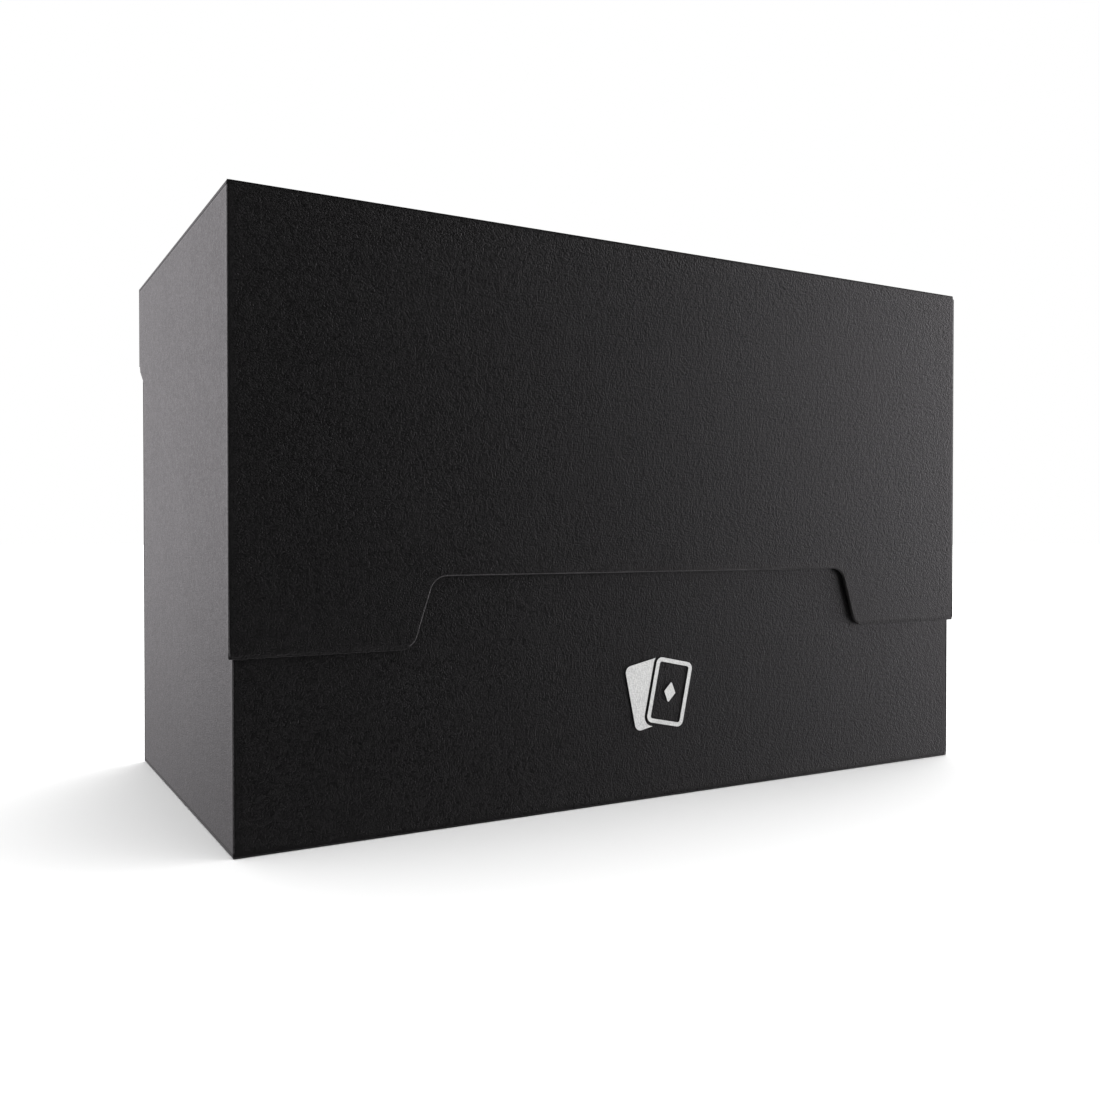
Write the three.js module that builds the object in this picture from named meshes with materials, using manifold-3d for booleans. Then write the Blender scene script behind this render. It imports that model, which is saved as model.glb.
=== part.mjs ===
// Double deck box for sleeved trading cards, folded from one scored sheet of polypropylene.
// Millimetres, +Z up. The front faces -Y, the origin is the middle of the footprint, on the table.
import * as THREE from 'three';
import { ConvexGeometry } from 'three/addons/geometries/ConvexGeometry.js';
import { mergeVertices } from 'three/addons/utils/BufferGeometryUtils.js';
import Module from 'manifold-3d';

// ---- driving sizes: the sheet and its folds
const sheet = 0.65;             // gauge of the polypropylene sheet
const creaseGap = 0.08;         // half of the hairline between two panels at a score line
const glueLine = 0.05;          // between a glue tab and the panel it is glued to
const tabRelief = 0.6;          // a tab's end stays this far from the next panel

// ---- driving sizes: the body
const bodyWidth = 150.8;        // outside, side wall to side wall
const bodyDepth = 78.3;         // outside, front wall to back wall
const sideWallDrop = 0.2;       // top edge of the side walls, below the hinge line
const frontWallDrop = 4.4;      // top edge of the front wall, below the hinge line
const floorInset = 0.05;        // the floor's cut edges sit this far inside the side walls
const bodyTabDepth = 14;        // how far a body tab reaches inwards
const bodyTabLean = 3.5;        // each end of its free edge is drawn in by this
const fingerWidth = 34;         // finger cut-out in the front wall's top edge, one for each deck
const fingerDepth = 17;
const fingerRadius = 9;         // its lower corners

// ---- driving sizes: the lid
const boxHeight = 98.1;         // floor to the top of the closed lid
const lidSideGap = 0.08;        // lid side panel to body side wall
const lidFrontGap = 0.19;       // front flap to body front wall
const topInsetLeft = 0.05;      // the top's and the back strip's cut edges inside the side panels:
const topInsetRight = 0.4;      // the top is folded slightly off centre
const hingeHeight = 81.4;       // living hinge above the table
const webHeight = 1.2;          // width of the thinned band at the hinge
const webThickness = 0.25;      // what the score leaves of the sheet there
const webInset = 0.3;           // the band's ends inside the side walls
const flapLength = 69;          // front flap, from the top down
const earRelief = 0.5;          // the side panel's lower edge starts this far above the flap's
const earCornerRadius = 2.2;    // its lower corner beside the hinge
const lidTabDepth = 13;         // how far a lid tab reaches inwards
const lidRearTabLean = 2.6;
const lidTopTabLean = 4.3;
const notchHeight = 11.45;      // cut-out in the flap's lower edge
const notchSideMargin = 28.6;   // from the flap's side edge to the cut-out, along the lower edge
const notchRun = 3.7;           // how far the cut-out's ends lean inwards over its height
const notchRadius = 3;          // all four of its corners

// ---- driving sizes: the loose divider
const dividerTop = 90;          // top edge above the table
const dividerFoot = 24;         // folded foot that keeps it upright
const dividerFootLean = 3;
const dividerEndGap = 0.6;      // to the front wall and to the rear tabs
const dividerFloorGap = 0.1;    // foot above the floor
const dividerCornerRadius = 6;

// ---- driving sizes: the printed mark, two fanned cards with a diamond on the front one
const inkThickness = 0.04;
const inkGap = 0.01;            // ink to sheet
const markHeight = 18.8;        // the mark's middle above the table
const cardWidth = 8;
const cardLength = 11.8;
const cardCorner = 1.2;
const cardLine = 0.75;          // width of the front card's printed outline
const cardTilt = 12;            // degrees that each card leans outwards
const cardSpread = 2.3;         // each card's middle from the mark's middle
const cardSpacing = 0.6;        // unprinted band between the two cards
const pipWidth = 2.5;
const pipLength = 3.8;
const pipCorner = 0.2;

// ---- places that follow
const lidWidth = bodyWidth + 2 * (lidSideGap + sheet);
const overallDepth = bodyDepth + lidFrontGap + sheet;
const backFace = overallDepth / 2;
const bodyFrontFace = backFace - bodyDepth;
const lidFrontFace = -overallDepth / 2;
const flapBottom = boxHeight - flapLength;
const sideWallTop = hingeHeight - sideWallDrop;
const frontWallTop = hingeHeight - frontWallDrop;
const rearFold = backFace - sheet - glueLine;      // where side panels turn into their rear tabs
const bodyFloorFold = sheet + glueLine;            // where side walls turn into their bottom tabs
const lidTopFold = boxHeight - sheet - glueLine;   // where lid side panels turn into top tabs

const arcSegments = 8;          // straight pieces in a rounded corner

const wasm = await Module();
wasm.setup();

// ---------------------------------------------------------------- solids

function toManifold(geometry) {
  const bare = new THREE.BufferGeometry();
  bare.setAttribute('position', geometry.getAttribute('position').clone());
  if (geometry.index) bare.setIndex(geometry.index.clone());
  const merged = mergeVertices(bare, 1e-5);
  return new wasm.Manifold(new wasm.Mesh({
    numProp: 3,
    vertProperties: new Float32Array(merged.getAttribute('position').array),
    triVerts: new Uint32Array(merged.index.array),
  }));
}

function toGeometry(manifold) {
  const mesh = manifold.getMesh();
  const geometry = new THREE.BufferGeometry();
  geometry.setAttribute('position', new THREE.BufferAttribute(mesh.vertProperties, 3));
  geometry.setIndex(new THREE.BufferAttribute(mesh.triVerts, 1));
  const flat = geometry.toNonIndexed();
  flat.computeVertexNormals();
  return flat;
}

function cut(geometry, ...cutters) {
  let solid = toManifold(geometry);
  for (const cutter of cutters) solid = solid.subtract(toManifold(cutter));
  return toGeometry(solid);
}

// A flat panel. Its outer face lies on y = 0 and spans x 0..width, z 0..height; the sheet's
// thickness goes towards +y. Each side named in folds (L, R, B, T) is mitred, because the sheet
// folds over there. lean draws the two ends of the far edge in, as on a die-cut glue tab.
function panel(width, height, folds, lean = 0) {
  const left = folds.includes('L') ? sheet : 0;
  const right = folds.includes('R') ? sheet : 0;
  const bottom = folds.includes('B') ? sheet : 0;
  const top = folds.includes('T') ? sheet : 0;
  const leanAt = (z) => lean * z / height;
  const points = [
    new THREE.Vector3(0, 0, 0),
    new THREE.Vector3(width, 0, 0),
    new THREE.Vector3(width - lean, 0, height),
    new THREE.Vector3(lean, 0, height),
    new THREE.Vector3(left + leanAt(bottom), sheet, bottom),
    new THREE.Vector3(width - right - leanAt(bottom), sheet, bottom),
    new THREE.Vector3(width - right - leanAt(height - top), sheet, height - top),
    new THREE.Vector3(left + leanAt(height - top), sheet, height - top),
  ];
  return new ConvexGeometry(points);
}

// A prism through the sheet from an outline drawn on the panel's outer face (x across, y up).
function throughCutter(outline) {
  const depth = 2 * bodyTabDepth;
  const prism = new THREE.ExtrudeGeometry(outline, {
    depth, bevelEnabled: false, curveSegments: arcSegments,
  });
  prism.rotateX(Math.PI / 2);
  prism.translate(0, depth / 2, 0);
  return prism;
}

// A closed outline whose corners [x, y, radius] are rounded; radius 0 leaves a corner sharp.
function roundedOutline(corners) {
  const shape = new THREE.Shape();
  corners.forEach(([x, y, radius], i) => {
    const here = new THREE.Vector2(x, y);
    const before = corners[(i + corners.length - 1) % corners.length];
    const after = corners[(i + 1) % corners.length];
    const back = new THREE.Vector2(before[0], before[1]).sub(here).normalize();
    const ahead = new THREE.Vector2(after[0], after[1]).sub(here).normalize();
    const halfAngle = Math.acos(THREE.MathUtils.clamp(back.dot(ahead), -1, 1)) / 2;
    const reach = radius / Math.tan(halfAngle);
    const start = here.clone().addScaledVector(back, reach);
    const end = here.clone().addScaledVector(ahead, reach);
    if (i === 0) shape.moveTo(start.x, start.y);
    else shape.lineTo(start.x, start.y);
    if (radius === 0) return;
    const middle = back.clone().add(ahead).normalize();
    const centre = here.clone().addScaledVector(middle, radius / Math.sin(halfAngle));
    const from = Math.atan2(start.y - centre.y, start.x - centre.x);
    const to = Math.atan2(end.y - centre.y, end.x - centre.x);
    const clockwise = back.x * ahead.y - back.y * ahead.x > 0;
    shape.absarc(centre.x, centre.y, radius, from, to, clockwise);
  });
  shape.closePath();
  return shape;
}

// ---------------------------------------------------------------- materials and placing

const finishes = {
  blackSheet: { color: 0x1d1d1e, roughness: 0.62, metalness: 0 },
  hingeWeb: { color: 0x2a2a2b, roughness: 0.5, metalness: 0 },
  dividerSheet: { color: 0x202021, roughness: 0.58, metalness: 0 },
  whiteInk: { color: 0xf1f0ef, roughness: 0.45, metalness: 0 },
};

function add(group, name, geometry, finish, place = new THREE.Vector3()) {
  const mesh = new THREE.Mesh(geometry, new THREE.MeshStandardMaterial(finishes[finish]));
  mesh.name = name;
  mesh.position.copy(place);
  group.add(mesh);
  return mesh;
}

const X = new THREE.Vector3(1, 0, 0);
const Y = new THREE.Vector3(0, 1, 0);
const Z = new THREE.Vector3(0, 0, 1);
const opposite = (v) => v.clone().negate();

// Turns a panel so that its width runs along `along` and its outer face looks towards `facing`.
function turn(mesh, along, facing) {
  const inwards = opposite(facing);
  const up = along.clone().cross(inwards);
  mesh.quaternion.setFromRotationMatrix(new THREE.Matrix4().makeBasis(along, inwards, up));
}

function addPanel(group, name, geometry, finish, along, facing, x, y, z) {
  turn(add(group, name, geometry, finish, new THREE.Vector3(x, y, z)), along, facing);
}

const sides = [
  { name: 'left', sign: -1, outwards: opposite(X) },
  { name: 'right', sign: 1, outwards: X },
];

// ---------------------------------------------------------------- body

const body = new THREE.Group();

function frontWall() {
  const width = bodyWidth - 2 * creaseGap;
  const height = frontWallTop - creaseGap;
  const bayMiddle = (bodyWidth / 2 - sheet) / 2;
  const fingers = sides.map(({ sign }) => {
    const middle = width / 2 + sign * bayMiddle;
    return throughCutter(roundedOutline([
      [middle - fingerWidth / 2, height + sheet, 0],
      [middle - fingerWidth / 2, height - fingerDepth, fingerRadius],
      [middle + fingerWidth / 2, height - fingerDepth, fingerRadius],
      [middle + fingerWidth / 2, height + sheet, 0],
    ]));
  });
  return cut(panel(width, height, 'LRB'), ...fingers);
}

addPanel(body, 'body_front_panel', frontWall(), 'blackSheet', X, opposite(Y),
  -bodyWidth / 2 + creaseGap, bodyFrontFace, creaseGap);

const floorWidth = bodyWidth - 2 * floorInset;
addPanel(body, 'body_bottom_panel', panel(floorWidth, bodyDepth - 2 * creaseGap, 'BT'), 'blackSheet',
  X, opposite(Z), -floorWidth / 2, backFace - creaseGap, 0);

const backTop = hingeHeight - webHeight / 2;
addPanel(body, 'body_back_panel', panel(bodyWidth, backTop - creaseGap, 'B'), 'blackSheet',
  opposite(X), Y, bodyWidth / 2, backFace, creaseGap);

const sideWallDepth = rearFold - bodyFrontFace - 2 * creaseGap;
const sideWallBottom = bodyFloorFold + creaseGap;
const rearTabBottom = bodyFloorFold + sheet + tabRelief;
const bottomTabFront = bodyFrontFace + sheet + tabRelief;
const bottomTabRear = rearFold - sheet - tabRelief;
for (const { name, sign, outwards } of sides) {
  const wall = bodyWidth / 2 * sign;
  const along = outwards.clone().cross(opposite(Z));   // left walls run forwards, right walls back
  addPanel(body, `body_${name}_side_panel`, panel(sideWallDepth, sideWallTop - sideWallBottom, 'LRB'),
    'blackSheet', along, outwards,
    wall, sign < 0 ? rearFold - creaseGap : bodyFrontFace + creaseGap, sideWallBottom);
  const rearTabTop = sideWallTop - tabRelief;
  addPanel(body, `body_${name}_rear_tab`,
    panel(rearTabTop - rearTabBottom, bodyTabDepth - creaseGap, 'B', bodyTabLean), 'blackSheet',
    Z.clone().multiplyScalar(-sign), Y,
    wall - sign * creaseGap, rearFold, sign < 0 ? rearTabBottom : rearTabTop);
  addPanel(body, `body_${name}_bottom_tab`,
    panel(bottomTabRear - bottomTabFront, bodyTabDepth - creaseGap, 'B', bodyTabLean), 'blackSheet',
    Y.clone().multiplyScalar(-sign), opposite(Z),
    wall - sign * creaseGap, sign < 0 ? bottomTabFront : bottomTabRear, bodyFloorFold);
}

// ---------------------------------------------------------------- living hinge

const webWidth = bodyWidth - 2 * webInset;
const webLength = webHeight / 2 - creaseGap;
const web = () => new THREE.BoxGeometry(webWidth, webThickness, webLength);
const webMiddle = backFace - webThickness / 2;
add(body, 'hinge_web_lower', web(), 'hingeWeb',
  new THREE.Vector3(0, webMiddle, hingeHeight - creaseGap / 2 - webLength / 2));

// ---------------------------------------------------------------- lid

const lid = new THREE.Group();
add(lid, 'hinge_web_upper', web(), 'hingeWeb',
  new THREE.Vector3(0, webMiddle, hingeHeight + creaseGap / 2 + webLength / 2));

const topLeft = -lidWidth / 2 + topInsetLeft;
const topRight = lidWidth / 2 - topInsetRight;
const topWidth = topRight - topLeft;
const stripBottom = hingeHeight + webHeight / 2;
addPanel(lid, 'lid_back_strip', panel(topWidth, boxHeight - creaseGap - stripBottom, 'T'),
  'blackSheet', opposite(X), Y, topRight, backFace, stripBottom);
addPanel(lid, 'lid_top_panel', panel(topWidth, overallDepth - 2 * creaseGap, 'BT'),
  'blackSheet', X, Z, topLeft, lidFrontFace + creaseGap, boxHeight);

// The flap: its cut-out is a trapezoid with rounded corners, wider at the lower edge. Beside the
// fold to the narrower top, its right edge is cut back to the top's width.
function frontFlap() {
  const width = lidWidth - 2 * creaseGap;
  const start = notchSideMargin - creaseGap;
  const overshoot = notchRadius;
  const notch = roundedOutline([
    [-overshoot, -overshoot, 0],
    [-overshoot, 0, 0],
    [start, 0, notchRadius],
    [start + notchRun, notchHeight, notchRadius],
    [width - start - notchRun, notchHeight, notchRadius],
    [width - start, 0, notchRadius],
    [width + overshoot, 0, 0],
    [width + overshoot, -overshoot, 0],
  ]);
  const topEnd = topRight + lidWidth / 2 - creaseGap;
  const step = roundedOutline([
    [topEnd, lidTopFold - flapBottom, 0],
    [width + overshoot, lidTopFold - flapBottom, 0],
    [width + overshoot, flapLength + overshoot, 0],
    [topEnd, flapLength + overshoot, 0],
  ]);
  return cut(panel(width, flapLength - creaseGap, 'LRT'), throughCutter(notch), throughCutter(step));
}

addPanel(lid, 'lid_front_flap', frontFlap(), 'blackSheet', X, opposite(Y),
  -lidWidth / 2 + creaseGap, lidFrontFace, flapBottom);

// A side panel: the sheet below the line from the flap's lower corner to the hinge is cut away.
// `forwards` says that its width runs towards the front.
const earBottom = flapBottom + earRelief;
const earDepth = rearFold - lidFrontFace - 2 * creaseGap;
function lidSide(forwards) {
  const height = lidTopFold - creaseGap - earBottom;
  const rise = hingeHeight - earRelief - earBottom;
  const flip = (x) => (forwards ? earDepth - x : x);
  const below = [
    [flip(-sheet), -sheet, 0],
    [flip(-sheet), -sheet * rise / earDepth, 0],
    [flip(earDepth), rise, earCornerRadius],
    [flip(earDepth), height - earCornerRadius, 0],
    [flip(earDepth + sheet), height - earCornerRadius, 0],
    [flip(earDepth + sheet), -sheet, 0],
  ];
  return cut(panel(earDepth, height, 'LRT'), throughCutter(roundedOutline(below)));
}

const lidTabBottom = hingeHeight + tabRelief;
const lidTabTop = lidTopFold - sheet - tabRelief;
const topTabFront = lidFrontFace + sheet + tabRelief;
const topTabRear = rearFold - sheet - tabRelief;
for (const { name, sign, outwards } of sides) {
  const wall = lidWidth / 2 * sign;
  const along = outwards.clone().cross(opposite(Z));
  addPanel(lid, `lid_${name}_side_panel`, lidSide(sign < 0), 'blackSheet', along, outwards,
    wall, sign < 0 ? rearFold - creaseGap : lidFrontFace + creaseGap, earBottom);
  addPanel(lid, `lid_${name}_rear_tab`,
    panel(lidTabTop - lidTabBottom, lidTabDepth - creaseGap, 'B', lidRearTabLean), 'blackSheet',
    Z.clone().multiplyScalar(-sign), Y,
    wall - sign * creaseGap, rearFold, sign < 0 ? lidTabBottom : lidTabTop);
  addPanel(lid, `lid_${name}_top_tab`,
    panel(topTabRear - topTabFront, lidTabDepth - creaseGap, 'B', lidTopTabLean), 'blackSheet',
    Y.clone().multiplyScalar(sign), Z,
    wall - sign * creaseGap, sign < 0 ? topTabRear : topTabFront, lidTopFold);
}

// ---------------------------------------------------------------- divider

const divider = new THREE.Group();
const dividerFront = bodyFrontFace + sheet + dividerEndGap;
const dividerRear = rearFold - sheet - dividerEndGap;
const dividerDepth = dividerRear - dividerFront;
const dividerFloor = sheet + dividerFloorGap;

function dividerPanel() {
  const height = dividerTop - dividerFloor - creaseGap;
  const past = dividerCornerRadius;
  const corners = [0, dividerDepth].map((edge) => {
    const out = edge === 0 ? -past : dividerDepth + past;
    return roundedOutline([
      [out, height + past, 0],
      [out, height - past, 0],
      [edge, height - past, 0],
      [edge, height, dividerCornerRadius],
      [dividerDepth / 2, height, 0],
      [dividerDepth / 2, height + past, 0],
    ]);
  });
  return cut(panel(dividerDepth, height, 'B'), ...corners.map(throughCutter));
}

addPanel(divider, 'divider_panel', dividerPanel(), 'dividerSheet', opposite(Y), opposite(X),
  -sheet / 2, dividerRear, dividerFloor + creaseGap);
addPanel(divider, 'divider_foot', panel(dividerDepth, dividerFoot - creaseGap, 'B', dividerFootLean),
  'dividerSheet', Y, opposite(Z), -sheet / 2 + creaseGap, dividerFront, dividerFloor);

// ---------------------------------------------------------------- printed mark

// A printed shape, drawn in the xy plane about (centreX, 0) and leaning by `tilt` degrees to the
// right. Its corners are [x, y, radius] from its own middle.
function inkSolid(corners, centreX, tilt, depth = inkThickness) {
  const lean = THREE.MathUtils.degToRad(-tilt);
  const outline = roundedOutline(corners.map(([x, y, radius]) => {
    const point = new THREE.Vector2(x, y).rotateAround(new THREE.Vector2(), lean);
    return [centreX + point.x, point.y, radius];
  }));
  const solid = new THREE.ExtrudeGeometry(outline, {
    depth, bevelEnabled: false, curveSegments: arcSegments,
  });
  solid.translate(0, 0, -depth / 2);
  return toManifold(solid);
}

// A card grown (or, below 0, shrunk) by `grown` all round.
function cardCorners(grown) {
  const x = cardWidth / 2 + grown;
  const y = cardLength / 2 + grown;
  const radius = cardCorner + grown;
  return [[-x, -y, radius], [x, -y, radius], [x, y, radius], [-x, y, radius]];
}

const pipCorners = [
  [0, -pipLength / 2, pipCorner],
  [pipWidth / 2, 0, pipCorner],
  [0, pipLength / 2, pipCorner],
  [-pipWidth / 2, 0, pipCorner],
];
const throughInk = 3 * inkThickness;
const rearCard = inkSolid(cardCorners(0), -cardSpread, -cardTilt)
  .subtract(inkSolid(cardCorners(cardSpacing), cardSpread, cardTilt, throughInk));
const frontCard = inkSolid(cardCorners(0), cardSpread, cardTilt)
  .subtract(inkSolid(cardCorners(-cardLine), cardSpread, cardTilt, throughInk));
const ink = {
  print_rear_card: rearCard,
  print_front_card: frontCard,
  print_pip: inkSolid(pipCorners, cardSpread, cardTilt),
};
const inkFace = bodyFrontFace - inkGap - inkThickness / 2;
for (const [name, solid] of Object.entries(ink)) {
  addPanel(body, name, toGeometry(solid).rotateX(Math.PI / 2), 'whiteInk', X, opposite(Y),
    0, inkFace, markHeight);
}

const deckBox = new THREE.Group();
deckBox.add(body, lid, divider);
export default deckBox;
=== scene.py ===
import math

import bmesh
import bpy
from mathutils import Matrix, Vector


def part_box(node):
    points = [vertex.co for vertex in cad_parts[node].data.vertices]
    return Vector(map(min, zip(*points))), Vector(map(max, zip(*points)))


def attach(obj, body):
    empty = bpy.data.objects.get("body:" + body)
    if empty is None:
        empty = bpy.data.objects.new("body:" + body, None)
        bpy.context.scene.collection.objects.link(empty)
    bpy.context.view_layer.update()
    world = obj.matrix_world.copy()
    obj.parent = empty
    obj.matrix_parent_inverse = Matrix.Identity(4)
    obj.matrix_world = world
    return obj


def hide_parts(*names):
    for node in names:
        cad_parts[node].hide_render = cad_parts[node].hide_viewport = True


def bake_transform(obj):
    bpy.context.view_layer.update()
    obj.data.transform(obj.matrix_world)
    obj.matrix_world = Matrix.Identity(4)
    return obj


MM = 0.001
X, Y, Z = Vector((1, 0, 0)), Vector((0, 1, 0)), Vector((0, 0, 1))

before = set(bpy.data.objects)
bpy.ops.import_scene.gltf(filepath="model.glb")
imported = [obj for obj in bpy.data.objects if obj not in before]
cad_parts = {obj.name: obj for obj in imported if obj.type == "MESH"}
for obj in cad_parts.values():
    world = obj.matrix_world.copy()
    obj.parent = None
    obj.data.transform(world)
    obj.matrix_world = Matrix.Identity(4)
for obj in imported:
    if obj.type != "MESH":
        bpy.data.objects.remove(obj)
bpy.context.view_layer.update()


# ------------------------------------------------------------------ camera
# A tabletop product camera: low, a little above half the height of the box, off its front left
# corner and turned towards its middle, on a moderate wide lens.

CAMERA_PLACE = (-111.6 * MM, -195.51 * MM, 46.95 * MM)
CAMERA_TURN = 29.591            # degrees from +Y towards +X
CAMERA_TILT = 0.742             # degrees below the horizon
CAMERA_LENS = 34.95             # focal length, for a sensor as wide as SENSOR_WIDTH
SENSOR_WIDTH = 36.0

camera = bpy.data.objects.new("camera", bpy.data.cameras.new("camera"))
camera.data.sensor_width = SENSOR_WIDTH
camera.data.lens = CAMERA_LENS
camera.data.clip_start = 1 * MM
camera.location = CAMERA_PLACE
camera.rotation_euler = (math.radians(90 - CAMERA_TILT), 0, math.radians(-CAMERA_TURN))
bpy.context.scene.collection.objects.link(camera)
bpy.context.scene.camera = camera


# ------------------------------------------------------------------ front wall of the body
# The whole box is one die-cut blank of black polypropylene sheet, embossed with a fine grain on
# its outside, scored, folded and glued. The front wall is folded over to the floor and to both
# side walls, and its top edge has a finger cut-out in front of each deck.

SHEET = 0.65 * MM               # gauge of the sheet
CREASE_GAP = 0.08 * MM          # what the frame leaves open between two panels at a score
FOLD_STEPS = 7                  # facets from a panel's face to the middle of its fold
FOLDS = (                       # radius of a fold that runs along x, y or z, and how square it is
    (0.42 * MM, 2.6),
    (0.22 * MM, 3.0),
    (0.7 * MM, 4.0))
SUPPORTS = (0.46 * MM, 0.56 * MM, 1.3 * MM)   # cuts beside a fold that hold the flat's shading
ROLL_OUTSIDE = 0.12 * MM        # the knife rolls the outside of a cut edge over
ROLL_INSIDE = 0.06 * MM
ROLL_STEPS = 4
LONG_EDGE = 20 * MM             # the sheet is drawn in at an edge longer than this
DRAG_WIDTH = 1.0 * MM
DRAG_DEPTH = 0.09 * MM
NEAR_FOLD = 1.2 * SHEET         # a corner this near to two folds is left sharp
MITRE = (0.5, 0.9)              # cosine between a mitred end and the sheet's inward direction
SQUARE = 0.1                    # two directions with a smaller cosine are square to each other
PARALLEL = 0.99                 # two directions with a larger cosine are parallel
STRAIGHT = 0.95                 # an edge with a larger cosine to an axis follows it
WELD = 1e-6                     # vertices closer than this are one
ON_PLANE = 1e-7                 # a vertex closer than this to a cutting plane is on it
SMOOTH_BELOW = math.radians(40)
FACE, CUT, INSIDE = 0, 1, 2     # material slots of a piece of sheet

SHEET_BLACK = (0.0026, 0.0025, 0.0026, 1)
SHEET_WORN = (0.007, 0.0067, 0.007, 1)
SHEET_IOR = 1.5
PEBBLE = 0.24 * MM              # size of the grain's pebbles
WRINKLE = 0.75 * MM             # and of the wrinkles under them
GRAIN_DEPTH = 0.036 * MM
FACE_CLOUDS = 60.0              # soft patches in a metre of sheet
INSIDE_CLOUDS = 45.0
CUT_LINES = 6000.0              # drag lines in a metre of cut edge
CUT_DEPTH = 0.02 * MM
INSIDE_SAND = 5200.0            # grains of the inside's emboss in a metre
SAND_DEPTH = 0.03 * MM


class Socket:
    """An output socket. Arithmetic on it adds Math nodes to its tree."""

    def __init__(self, nodes, socket):
        self.nodes = nodes
        self.socket = socket

    def beside(self, output):
        """Another output of the same node."""
        return Socket(self.nodes, self.socket.node.outputs[output])

    def math(self, operation, first, second=0.0):
        return self.nodes.add("ShaderNodeMath", {"operation": operation}, {0: first, 1: second})

    def __add__(self, other):
        return self.math("ADD", self, other)

    def __sub__(self, other):
        return self.math("SUBTRACT", self, other)

    def __rsub__(self, other):
        return self.math("SUBTRACT", other, self)

    def __mul__(self, other):
        return self.math("MULTIPLY", self, other)

    __radd__ = __add__
    __rmul__ = __mul__


class Nodes:
    """A node tree that is being written."""

    def __init__(self, owner):
        owner.use_nodes = True
        self.tree = owner.node_tree
        self.tree.nodes.clear()

    def add(self, kind, settings=None, inputs=None, output=0):
        """Adds a node, applies its settings, then fills or links its inputs."""
        made = self.tree.nodes.new(kind)
        for name, value in (settings or {}).items():
            setattr(made, name, value)
        for name, value in (inputs or {}).items():
            if isinstance(value, Socket):
                self.tree.links.new(value.socket, made.inputs[name])
            else:
                made.inputs[name].default_value = value
        return Socket(self, made.outputs[output]) if made.outputs else None

    def between(self, value, low, high, out_low=0.0, out_high=1.0):
        """value eased from out_low at low to out_high at high."""
        return self.add("ShaderNodeMapRange", {"interpolation_type": "SMOOTHSTEP"}, {
            "Value": value, "From Min": low, "From Max": high,
            "To Min": out_low, "To Max": out_high})

    def blend(self, share, first, second):
        """Two colours mixed."""
        return self.add("ShaderNodeMix", {"data_type": "RGBA"}, {0: share, 6: first, 7: second}, 2)

    def noise(self, place, scale, detail, roughness=0.5, distortion=0.0):
        return self.add("ShaderNodeTexNoise", {}, {
            "Vector": place, "Scale": scale, "Detail": detail, "Roughness": roughness,
            "Distortion": distortion})

    def plastic(self, colour, roughness, height, depth):
        """The surface that all finishes share, embossed by `height` times `depth`."""
        relief = self.add("ShaderNodeBump", {}, {
            "Height": height, "Distance": depth, "Strength": 1.0})
        surface = self.add("ShaderNodeBsdfPrincipled", {}, {
            "Base Color": colour, "Roughness": roughness, "IOR": SHEET_IOR, "Normal": relief})
        self.add("ShaderNodeOutputMaterial", {}, {"Surface": surface})


def grain(nodes, place):
    """Embossed grain: fine pebbles on slow, shallow wrinkles. From 0 to 1."""
    pebbles = nodes.noise(place, 1 / PEBBLE, detail=0.6, roughness=0.4, distortion=0.2)
    wrinkles = nodes.noise(place, 1 / WRINKLE, detail=1.5, roughness=0.5, distortion=0.3)
    return nodes.between(pebbles, 0.3, 0.7) * 0.65 + nodes.between(wrinkles, 0.3, 0.7) * 0.35


def sheet_face():
    """The grained outside of the sheet. On a fold the grain is stretched flat and polished."""
    made = bpy.data.materials.new("grained_black_polypropylene")
    nodes = Nodes(made)
    place = nodes.add("ShaderNodeTexCoord", output="Object")
    fold = nodes.add("ShaderNodeAttribute", {"attribute_name": "fold"}, output="Fac")
    emboss = grain(nodes, place)
    cloud = nodes.noise(place, FACE_CLOUDS, detail=3.0)
    colour = nodes.blend(fold * 0.35 + emboss * 0.3, SHEET_BLACK, SHEET_WORN)
    roughness = 0.28 + emboss * 0.17 + cloud * 0.04 - fold * 0.04
    nodes.plastic(colour, roughness, emboss * (1 - fold * 0.6), GRAIN_DEPTH)
    return made


def sheet_cut():
    """A knife-cut edge: no grain, faint drag lines through the thickness."""
    made = bpy.data.materials.new("knife_cut_polypropylene")
    nodes = Nodes(made)
    place = nodes.add("ShaderNodeTexCoord", output="Object")
    drag = nodes.noise(place, CUT_LINES, detail=2.0)
    nodes.plastic(nodes.blend(drag, SHEET_BLACK, SHEET_WORN), 0.42 + drag * 0.16, drag, CUT_DEPTH)
    return made


def sheet_inside():
    """The inside of the sheet: a much finer matt emboss than the outside."""
    made = bpy.data.materials.new("matt_inside_polypropylene")
    nodes = Nodes(made)
    place = nodes.add("ShaderNodeTexCoord", output="Object")
    sand = nodes.noise(place, INSIDE_SAND, detail=2.0)
    cloud = nodes.noise(place, INSIDE_CLOUDS, detail=3.0)
    nodes.plastic(nodes.blend(cloud, SHEET_BLACK, SHEET_WORN), 0.5 + cloud * 0.08, sand, SAND_DEPTH)
    return made


SHEET_FINISH = [sheet_face(), sheet_cut(), sheet_inside()]


def everything(bm):
    return [*bm.verts, *bm.edges, *bm.faces]


def find_folds(bm, inwards):
    """The mitred ends of a panel, as (direction out of the panel, the mitre's vertices)."""
    folds = []
    for face in bm.faces:
        depth = face.normal.dot(inwards)
        if MITRE[0] < depth < MITRE[1]:
            folds.append(((face.normal - depth * inwards).normalized(), list(face.verts)))
    return folds


def at_two_folds(vert, corners):
    return sum(corner - vert.co.dot(side) < NEAR_FOLD for side, corner in corners) > 1


def cut_across(bm, point, normal):
    """Splits the faces along a plane, so that they can bend there."""
    bmesh.ops.bisect_plane(
        bm, geom=everything(bm), dist=ON_PLANE, plane_co=point, plane_no=normal)


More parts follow.
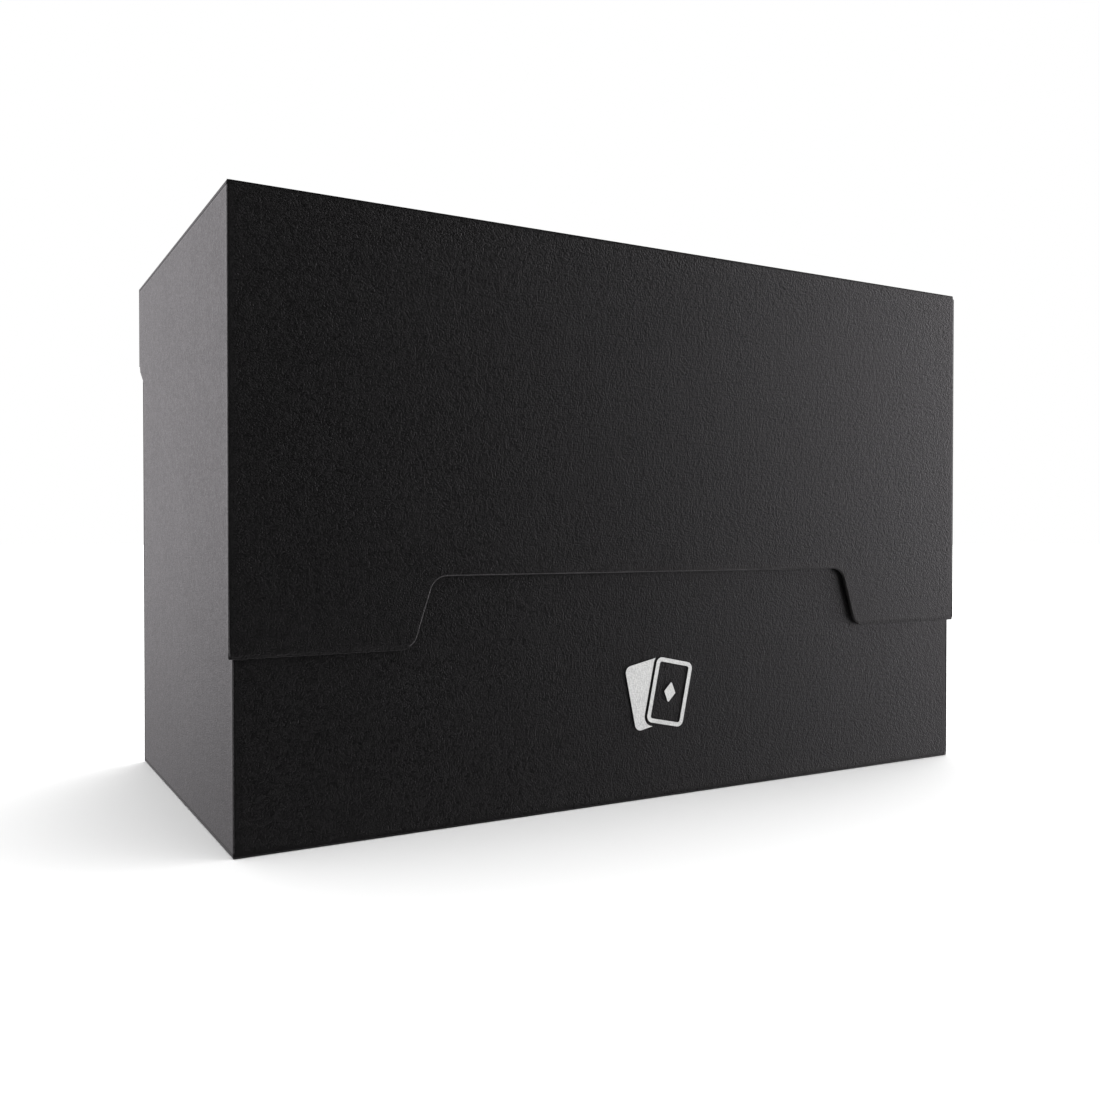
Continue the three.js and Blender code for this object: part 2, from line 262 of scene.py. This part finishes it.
def roll_cut_edges(bm, corners, inwards, roll):
    """Rolls a knife-cut edge over, by `roll` on the outside of the sheet and less on its inside."""
    for level, radius in ((-1, roll), (1, ROLL_INSIDE)):
        edges = []
        for edge in bm.edges:
            across = sorted(face.normal.dot(inwards) * level for face in edge.link_faces)
            between_folds = all(at_two_folds(vert, corners) for vert in edge.verts)
            if abs(across[0]) < SQUARE and across[1] > PARALLEL and not between_folds:
                edges.append(edge)
        bmesh.ops.bevel(bm, geom=edges, offset=radius, offset_type="OFFSET", segments=ROLL_STEPS,
                        profile=0.5, affect="EDGES", material=-1, clamp_overlap=False)


def round_fold(bm, side, corner, outer, inwards, supported):
    """Bends one mitred end round. `corner` is how far out along `side` its sharp corner is.

    The vertex attribute "fold" says how near the bend is. A supported fold along x also gets
    the cuts beside it.
    """
    along = max(range(3), key=lambda i: abs(side.cross(inwards)[i]))
    radius, squareness = FOLDS[along]
    steps = [radius * math.tan(math.pi / 4 * i / FOLD_STEPS) for i in range(FOLD_STEPS)]
    lines = [corner - 2 * radius] + [corner - radius + step for step in steps]
    if supported and along == 0:
        lines += [corner - place for place in SUPPORTS]
    for line in lines:
        cut_across(bm, side * line, side)
    folded = bm.verts.layers.float.get("fold") or bm.verts.layers.float.new("fold")
    for vert in bm.verts:
        past = vert.co.dot(side) - corner
        depth = vert.co.dot(inwards) - outer
        if depth < SHEET / 2:
            vert[folded] = min(max(vert[folded], 1 - (-past - radius) / radius), 1)
        up = max(radius - depth, 0)
        out = max(past + radius, 0)
        if up > 0 and out > 0:
            pull = 1 - max(up, out) / (up ** squareness + out ** squareness) ** (1 / squareness)
            vert.co += (inwards * up - side * out) * pull


def drawn_edges(bm, outer, inwards):
    """The outside's long edges that follow neither y nor z, as (a point, direction across).

    Besides the slanted cuts these are the edges along x.
    """
    drawn = []
    for edge in bm.edges:
        start = edge.verts[0].co.copy()
        along = (edge.verts[1].co - start).normalized()
        outside = all(abs(vert.co.dot(inwards) - outer) < WELD for vert in edge.verts)
        slanted = abs(along.z) < STRAIGHT and abs(along.y) < STRAIGHT
        if edge.calc_length() > LONG_EDGE and slanted and outside:
            across = along.cross(inwards).normalized()
            drawn.append((start, -across if across.z < 0 else across))
    return drawn


def draw_in(bm, start, across, outer, inwards, roll):
    """Draws the outside in: all of it behind the edge, less and less of it beyond."""
    cut_across(bm, start + across * DRAG_WIDTH, across)
    for vert in bm.verts:
        beyond = (vert.co - start).dot(across) / DRAG_WIDTH
        if vert.co.dot(inwards) - outer < roll + WELD and beyond < 1:
            vert.co += inwards * DRAG_DEPTH * (1 - max(beyond, 0))


def sheet_piece(name, node, facing, body, roll=ROLL_OUTSIDE,
                supported=False):
    """A panel of the sheet from its CAD node, whose outside looks towards `facing`."""
    inwards = -facing
    bm = bmesh.new()
    bm.from_mesh(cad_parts[node].data)
    bmesh.ops.remove_doubles(bm, verts=bm.verts, dist=WELD)
    bmesh.ops.dissolve_limit(bm, angle_limit=math.radians(1), verts=bm.verts, edges=bm.edges)
    folds = find_folds(bm, inwards)
    for side, verts in folds:
        bmesh.ops.translate(bm, verts=verts, vec=side * CREASE_GAP)
    corners = [(side, max(vert.co.dot(side) for vert in verts)) for side, verts in folds]
    for face in bm.faces:
        depth = face.normal.dot(inwards)
        face.material_index = INSIDE if depth > MITRE[1] else CUT if depth > -SQUARE else FACE
    outer = min(vert.co.dot(inwards) for vert in bm.verts)
    drawn = drawn_edges(bm, outer, inwards)
    roll_cut_edges(bm, corners, inwards, roll)
    for start, across in drawn:
        draw_in(bm, start, across, outer, inwards, roll)
    for side, corner in corners:
        round_fold(bm, side, corner, outer, inwards, supported)
    mesh = bpy.data.meshes.new(name)
    bm.to_mesh(mesh)
    bm.free()
    mesh.shade_smooth()
    mesh.set_sharp_from_angle(angle=SMOOTH_BELOW)
    for finish in SHEET_FINISH:
        mesh.materials.append(finish)
    piece = bpy.data.objects.new(name, mesh)
    bpy.context.scene.collection.objects.link(piece)
    piece.modifiers.new("flat_faces", "WEIGHTED_NORMAL").keep_sharp = True
    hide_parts(node)
    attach(piece, body)


sheet_piece("front_wall", "body_front_panel", -Y, "body")


# ------------------------------------------------------------------ floor and back wall
# The floor hangs between the front wall and the back wall, and its ends are cut edges that lie
# under the side walls. The back wall ends at the living hinge.

sheet_piece("floor_panel", "body_bottom_panel", -Z, "body")
sheet_piece("back_wall", "body_back_panel", Y, "body")


# ------------------------------------------------------------------ side walls and their glue tabs
# Each side wall is folded off the front wall. A tab behind it is glued inside the back wall, and
# a tab under it is glued on the floor.

SIDES = (("left", -X), ("right", X))
for hand, outwards in SIDES:
    sheet_piece(f"{hand}_wall", f"body_{hand}_side_panel", outwards, "body")
    sheet_piece(f"{hand}_wall_rear_tab", f"body_{hand}_rear_tab", Y, "body")
    sheet_piece(f"{hand}_wall_floor_tab", f"body_{hand}_bottom_tab", -Z, "body")


# ------------------------------------------------------------------ printed mark
# White screen ink on the front wall, under the flap's cut-out: two fanned cards with a diamond.
# The ink is so thin that the grain of the sheet shows through it.

INK_LOW = (0.50, 0.50, 0.50, 1)
INK_HIGH = (0.62, 0.62, 0.61, 1)
INK_DEPTH = 0.04 * MM


def white_ink():
    made = bpy.data.materials.new("white_screen_ink")
    nodes = Nodes(made)
    place = nodes.add("ShaderNodeTexCoord", output="Object")
    emboss = grain(nodes, place)
    nodes.plastic(nodes.blend(emboss, INK_LOW, INK_HIGH), 0.4 + emboss * 0.1, emboss, INK_DEPTH)
    return made


INK = white_ink()
for node in ("print_rear_card", "print_front_card", "print_pip"):
    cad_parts[node].data.materials.clear()
    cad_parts[node].data.materials.append(INK)


# ------------------------------------------------------------------ lid
# The sheet runs on over the living hinge: back strip, top, front flap with its wide cut-out in
# the lower edge, and two side panels folded off the flap, glued inside the strip and the top.

FLAP_ROLL = 0.3 * MM            # the flap's cut edges are rolled over further

sheet_piece("lid_strip", "lid_back_strip", Y, "lid", supported=True)
sheet_piece("lid_top", "lid_top_panel", Z, "lid", supported=True)
sheet_piece("flap", "lid_front_flap", -Y, "lid", roll=FLAP_ROLL, supported=True)
for hand, outwards in SIDES:
    sheet_piece(f"lid_{hand}_side", f"lid_{hand}_side_panel", outwards, "lid")
    sheet_piece(f"lid_{hand}_strip_tab", f"lid_{hand}_rear_tab", Y, "lid")
    sheet_piece(f"lid_{hand}_roof_tab", f"lid_{hand}_top_tab", Z, "lid")


# ------------------------------------------------------------------ living hinge
# Between the back wall and the lid's strip the sheet is coined down to a thin, polished band,
# which bends each time that the lid opens.

WEB_ROWS = 16
WEB_HOLLOW = 0.05 * MM          # how far the band is drawn in at its middle
WEB_BRIGHT = (0.02, 0.0197, 0.02, 1)
WEB_STREAKS = (900.0, 3000.0, 9000.0)      # streaks in a metre along x, y and z
WEB_STREAK_DEPTH = 0.012 * MM

web_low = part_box("hinge_web_lower")
web_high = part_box("hinge_web_upper")
web_middle = (web_low[0] + web_high[1]) / 2
web_size = web_high[1] - web_low[0] + Vector((0, 0, 2 * CREASE_GAP))

bm = bmesh.new()
bmesh.ops.create_cube(bm, size=1)
bmesh.ops.scale(bm, vec=web_size, verts=bm.verts)
bmesh.ops.translate(bm, vec=web_middle, verts=bm.verts)
for row in range(1, WEB_ROWS):
    cut_across(bm, Z * (web_middle.z + web_size.z * (row / WEB_ROWS - 0.5)), Z)
for vert in bm.verts:
    swell = (vert.co.z - web_middle.z) / (web_size.z / 2)
    vert.co.y -= WEB_HOLLOW * (1 - swell ** 2)
web_mesh = bpy.data.meshes.new("living_hinge")
bm.to_mesh(web_mesh)
bm.free()
web_mesh.shade_smooth()
web_mesh.set_sharp_from_angle(angle=SMOOTH_BELOW)


def coined_band():
    made = bpy.data.materials.new("coined_hinge_band")
    nodes = Nodes(made)
    place = nodes.add("ShaderNodeTexCoord", output="Object")
    stretched = nodes.add("ShaderNodeMapping", {}, {"Vector": place, "Scale": WEB_STREAKS})
    streaks = nodes.noise(stretched, 1.0, detail=2.0)
    colour = nodes.blend(streaks, SHEET_WORN, WEB_BRIGHT)
    nodes.plastic(colour, 0.3 + streaks * 0.12, streaks, WEB_STREAK_DEPTH)
    return made


web_mesh.materials.append(coined_band())
hinge = bpy.data.objects.new("living_hinge", web_mesh)
bpy.context.scene.collection.objects.link(hinge)
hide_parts("hinge_web_lower", "hinge_web_upper")
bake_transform(hinge)


# ------------------------------------------------------------------ loose divider
# A separate strip of the same sheet, folded once to an L. Its foot lies on the floor and keeps
# its wall upright between the two decks, and its two top corners are rounded.

sheet_piece("divider_wall", "divider_panel", -X, "divider")
sheet_piece("divider_base", "divider_foot", -Z, "divider")


# ------------------------------------------------------------------ stage
# A pale tabletop in a white room. Glossy surfaces see another room: almost dark in front of the
# box, with a bright softbox on the right, a weaker one on the left behind the box, a soft light
# overhead and a bright floor straight below.

FLOOR_GREY = (0.8, 0.8, 0.8, 1)
FLOOR_RADIUS = 6.0
FLOOR_GAP = 0.05 * MM           # keeps the tabletop clear of the box's underside
SIDE_LIGHT = 0.36               # brightness of the room at the horizon, where 1 is white
CEILING_LIGHT = 1.55            # what is added straight above
KEY_LIGHT = 2.4                 # what is added at the horizon behind the box, on its right
KEY_SIDE = (0.85, 0.5)          # east and north of it
ROOM_FRONT = 0.04               # what glossy surfaces see in front of the box
ROOM_STEPS = (                  # azimuth where a change starts, where it ends, and the change
    (38.0, 80.0, 4.1),
    (110.0, 165.0, -3.5),
    (-60.0, -95.0, 0.35),
    (-100.0, -135.0, 1.25),
    (-148.0, -178.0, -0.8))
GLOSS_TINT = (1, 0.957, 0.993, 1)
WHITE = (1, 1, 1, 1)

bm = bmesh.new()
bmesh.ops.create_circle(bm, cap_ends=True, radius=FLOOR_RADIUS, segments=64)
floor_mesh = bpy.data.meshes.new("tabletop")
bm.to_mesh(floor_mesh)
bm.free()
tabletop_finish = bpy.data.materials.new("pale_tabletop")
nodes = Nodes(tabletop_finish)
paper = nodes.add("ShaderNodeBsdfDiffuse", {}, {"Color": FLOOR_GREY})
nodes.add("ShaderNodeOutputMaterial", {}, {"Surface": paper})
floor_mesh.materials.append(tabletop_finish)
tabletop = bpy.data.objects.new("tabletop", floor_mesh)
tabletop.location = (0, 0, -FLOOR_GAP)
tabletop.visible_glossy = False
bpy.context.scene.collection.objects.link(tabletop)

room = bpy.data.worlds.new("studio")
bpy.context.scene.world = room
room.cycles.sampling_method = "NONE"
nodes = Nodes(room)
direction = nodes.add("ShaderNodeTexCoord", output="Generated")
east = nodes.add("ShaderNodeSeparateXYZ", {}, {"Vector": direction})
north = east.beside("Y")
up = east.beside("Z")
azimuth = east.math("ARCTAN2", east, 0 - north) * math.degrees(1)   # 0 in front, 90 on the right
elevation = up.math("ARCSINE", up) * math.degrees(1)
around = ROOM_FRONT
for start, end, change in ROOM_STEPS:
    around = around + nodes.between(azimuth, start, end, 0.0, change)
towards_floor = nodes.between(elevation, -18.0, 2.0, 0.4, 1.0)
towards_ceiling = nodes.between(elevation, 35.0, 60.0, 1.0, 0.05)
below = nodes.between(elevation, -32.0, -55.0, 0.0, 0.8)
above = nodes.between(elevation, 40.0, 62.0, 0.0, 0.5)
glossy_room = around * towards_floor * towards_ceiling + below + above
is_camera = nodes.add("ShaderNodeLightPath", output="Is Camera Ray")
is_glossy = is_camera.beside("Is Glossy Ray")
overhead = up.math("MAXIMUM", up)
keyward = up.math("MAXIMUM", east * KEY_SIDE[0] + north * KEY_SIDE[1])
dome = SIDE_LIGHT + CEILING_LIGHT * overhead + KEY_LIGHT * keyward
unseen = glossy_room * is_glossy + dome * (1 - is_glossy)
strength = is_camera + unseen * (1 - is_camera)
tint = nodes.blend(is_glossy, WHITE, GLOSS_TINT)
light = nodes.add("ShaderNodeBackground", {}, {"Color": tint, "Strength": strength})
nodes.add("ShaderNodeOutputWorld", {}, {"Surface": light})

bpy.context.scene.view_settings.view_transform = "Standard"
